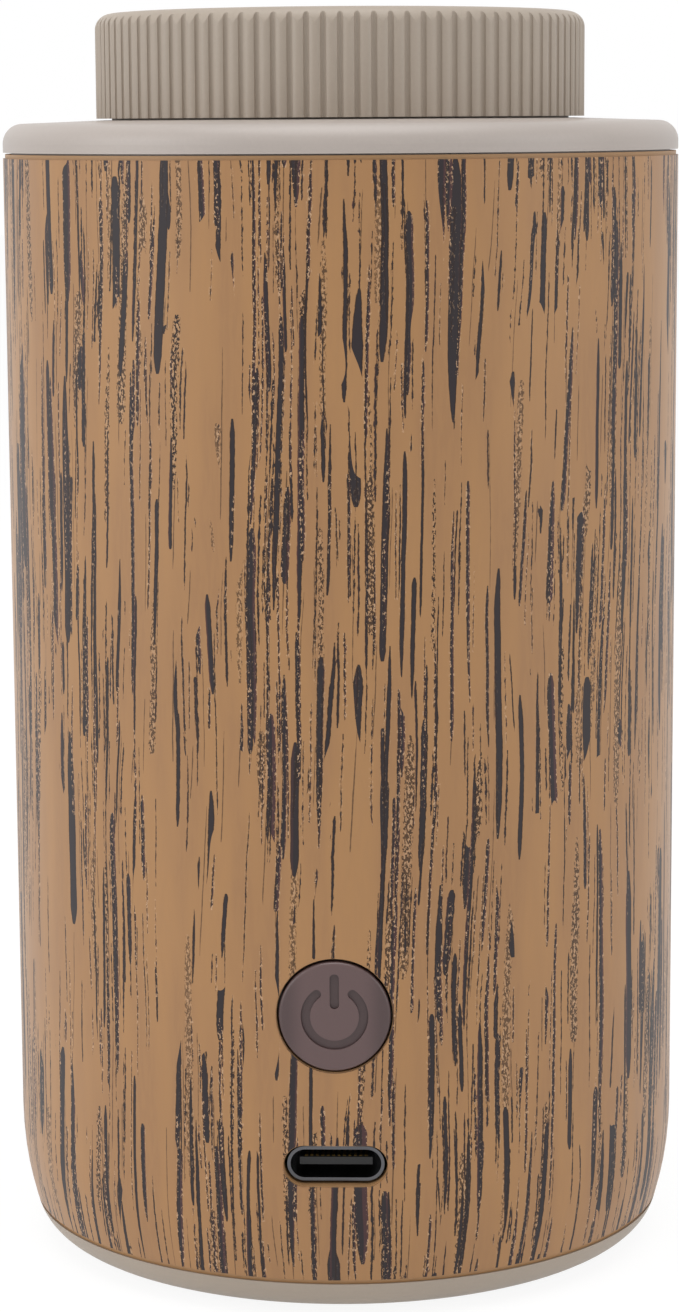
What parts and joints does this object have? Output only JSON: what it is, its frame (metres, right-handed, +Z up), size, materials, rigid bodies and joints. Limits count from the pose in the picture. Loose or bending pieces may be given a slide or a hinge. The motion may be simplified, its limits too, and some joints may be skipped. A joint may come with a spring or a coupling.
{
  "type": "essential oil diffuser",
  "caption": "Round cordless oil diffuser with a ribbed twist cap, printed wood casing, push button and charging port, over an air pump and a screw-in bottle.",
  "frame": {"origin": "centre of the foot pad's resting face", "axes": "+Z up through the mist outlet; the button and charging port face -Y"},
  "size_m": [0.065, 0.0652, 0.12],
  "materials": {
    "cap_finish": "satin champagne lacquer on plastic",
    "collar_finish": "smooth satin champagne lacquer on plastic",
    "tan_shell": "satin tan plastic",
    "wood_print": "satin printed film with a dark striped wood grain",
    "button_brown": "satin brown plastic",
    "foot_rubber": "matte soft rubber",
    "screw_steel": "zinc-plated steel",
    "steel_wire": "spring steel",
    "port_steel": "stainless steel",
    "port_shell": "darkened stainless steel",
    "filter_foam": "open-cell foam",
    "frame_plastic": "moulded off-white plastic",
    "head_plastic": "moulded oil-proof plastic",
    "amber_glass": "amber glass",
    "silicone": "translucent silicone rubber",
    "clear_tube": "translucent tube",
    "board_green": "green solder mask",
    "chip_black": "black moulded plastic",
    "led_clear": "clear plastic",
    "socket_white": "white nylon",
    "gold_plate": "gold plating",
    "cell_sleeve": "shrink sleeve on a steel can",
    "lead_red": "silicone lead insulation",
    "brass": "sintered bronze and brass",
    "magnet": "ferrite",
    "lamination": "laminated steel",
    "copper": "enamelled and bare copper",
    "pump_rubber": "moulded elastomer"
  },
  "bodies": {
    "root": {"air_hose": "silicone", "base_cover": "cap_finish", "base_screws": "screw_steel", "battery_cell": "cell_sleeve", "battery_leads": "lead_red", "board_parts": "chip_black", "board_screws": "screw_steel", "body_sleeve": "tan_shell", "bottle_well": "frame_plastic", "button_guide": "led_clear", "cell_pad": "filter_foam", "chassis_tray": "frame_plastic", "collar_screws": "screw_steel", "foot_pad": "foot_rubber", "inlet_filter": "filter_foam", "inner_frame": "frame_plastic", "lead_sockets": "socket_white", "main_board": "board_green", "motor_brushes": "copper", "motor_bushes": "brass", "motor_can": "port_steel", "motor_end_cap": "chip_black", "motor_leads": "lead_red", "motor_magnets": "magnet", "motor_terminals": "brass", "port_grommet": "silicone", "pump_base": "frame_plastic", "pump_diaphragm": "pump_rubber", "pump_foam": "filter_foam", "pump_head": "frame_plastic", "pump_screws": "screw_steel", "pump_valve_plate": "head_plastic", "pump_valves": "pump_rubber", "status_leds": "led_clear", "switch_body": "chip_black", "top_collar": "collar_finish", "usb_contacts": "gold_plate", "usb_shell": "port_shell", "usb_tongue": "chip_black", "wood_film": "wood_print"},
    "head": {"head_body": "head_plastic", "air_jet": "head_plastic", "oil_jet": "head_plastic", "dip_tube": "clear_tube", "baffle_disc": "head_plastic", "lid_gasket": "silicone", "head_lid": "head_plastic"},
    "cap": {"ribbed_cap": "cap_finish", "cap_retainer": "steel_wire"},
    "bottle_seal": {"bottle_gasket": "silicone"},
    "bottle": {"oil_bottle": "amber_glass"},
    "button": {"power_button": "button_brown", "switch_plunger": "socket_white"},
    "rotor": {"motor_shaft": "port_steel", "motor_armature": "lamination", "motor_windings": "copper", "motor_commutator": "copper", "drive_wheel": "head_plastic", "drive_pin": "port_steel"},
    "yoke": {"swash_yoke": "head_plastic"}
  },
  "joints": [
    {"name": "head_lift", "type": "slide", "parent": "root", "child": "head", "axis": [0, 0, 1], "range_m": [0, 0.066]},
    {"name": "cap_turn", "type": "hinge", "parent": "head", "child": "cap", "pos_m": [0, 0, 0.11], "axis": [0, 0, 1], "range_deg": [-45, 0]},
    {"name": "bottle_drop", "type": "slide", "parent": "head", "child": "bottle_seal", "axis": [0, 0, -1], "range_m": [0, 0.006]},
    {"name": "bottle_turn", "type": "hinge", "parent": "bottle_seal", "child": "bottle", "pos_m": [0, 0, 0.1062], "axis": [0, 0, 1], "range_deg": [-720, 0]},
    {"name": "button_press", "type": "slide", "parent": "root", "child": "button", "axis": [0, 1, 0], "range_m": [0, 0.0004], "stiffness_N_per_m": 2500, "springref_m": -0.0002},
    {"name": "rotor_spin", "type": "hinge", "parent": "root", "child": "rotor", "pos_m": [-0.0122, 0.004, 0.0065], "axis": [0, 0, 1], "continuous": true},
    {"name": "yoke_turn", "type": "hinge", "parent": "rotor", "child": "yoke", "pos_m": [-0.0122, 0.004, 0.0317], "axis": [0.1392, 0, 0.9903], "continuous": true, "deforming": ["pump_diaphragm"]}
  ],
  "couplings": [
    {"joint": "bottle_drop", "follows": "bottle_turn", "m_per_rad": -0.00047746},
    {"joint": "yoke_turn", "follows": "rotor_spin", "ratio": -1}
  ]
}
